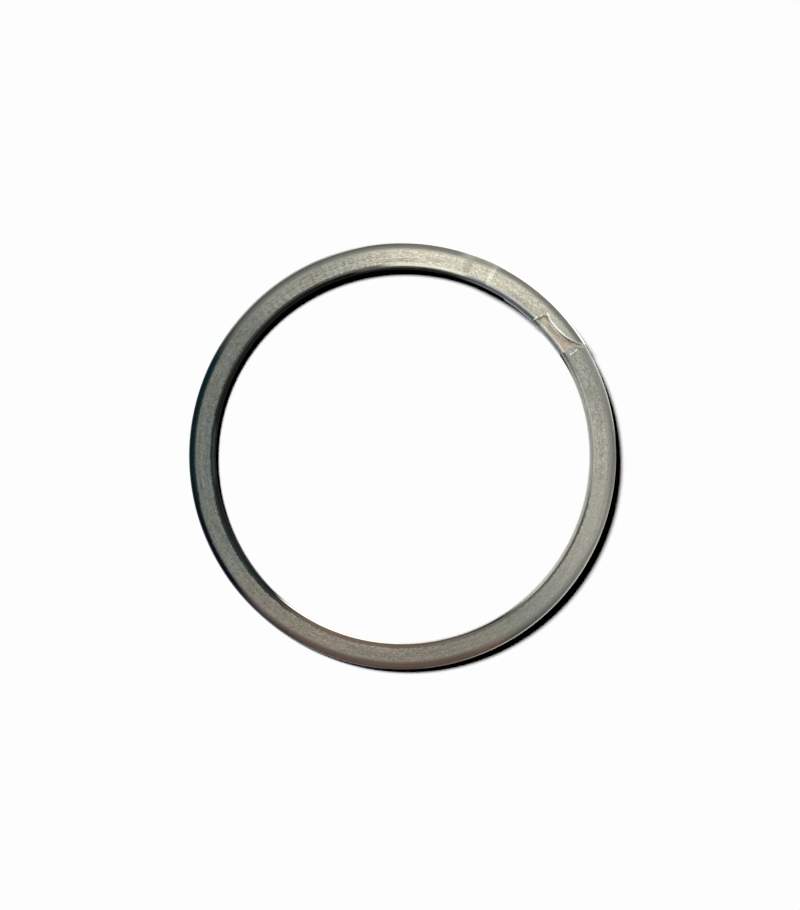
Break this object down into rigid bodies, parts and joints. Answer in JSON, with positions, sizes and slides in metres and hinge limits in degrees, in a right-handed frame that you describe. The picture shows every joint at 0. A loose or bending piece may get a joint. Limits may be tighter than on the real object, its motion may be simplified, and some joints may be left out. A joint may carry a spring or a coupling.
{
  "type": "spiral retaining ring",
  "caption": "Flat spring wire coiled on edge into a ring with lapped, offset ends; it snaps into a groove round a shaft and holds a part in place.",
  "frame": {"origin": "centre of the ring at the mid-thickness of its flat body", "axes": "+Z along the ring's axis; +X through the middle of the lap where the two ends pass each other"},
  "size_m": [0.0538, 0.0538, 0.0028],
  "materials": {
    "spring_steel": "bare drawn spring steel with a thin film of oil, fine lines along the wire"
  },
  "bodies": {
    "root": {"retaining_ring": "spring_steel"}
  },
  "joints": []
}
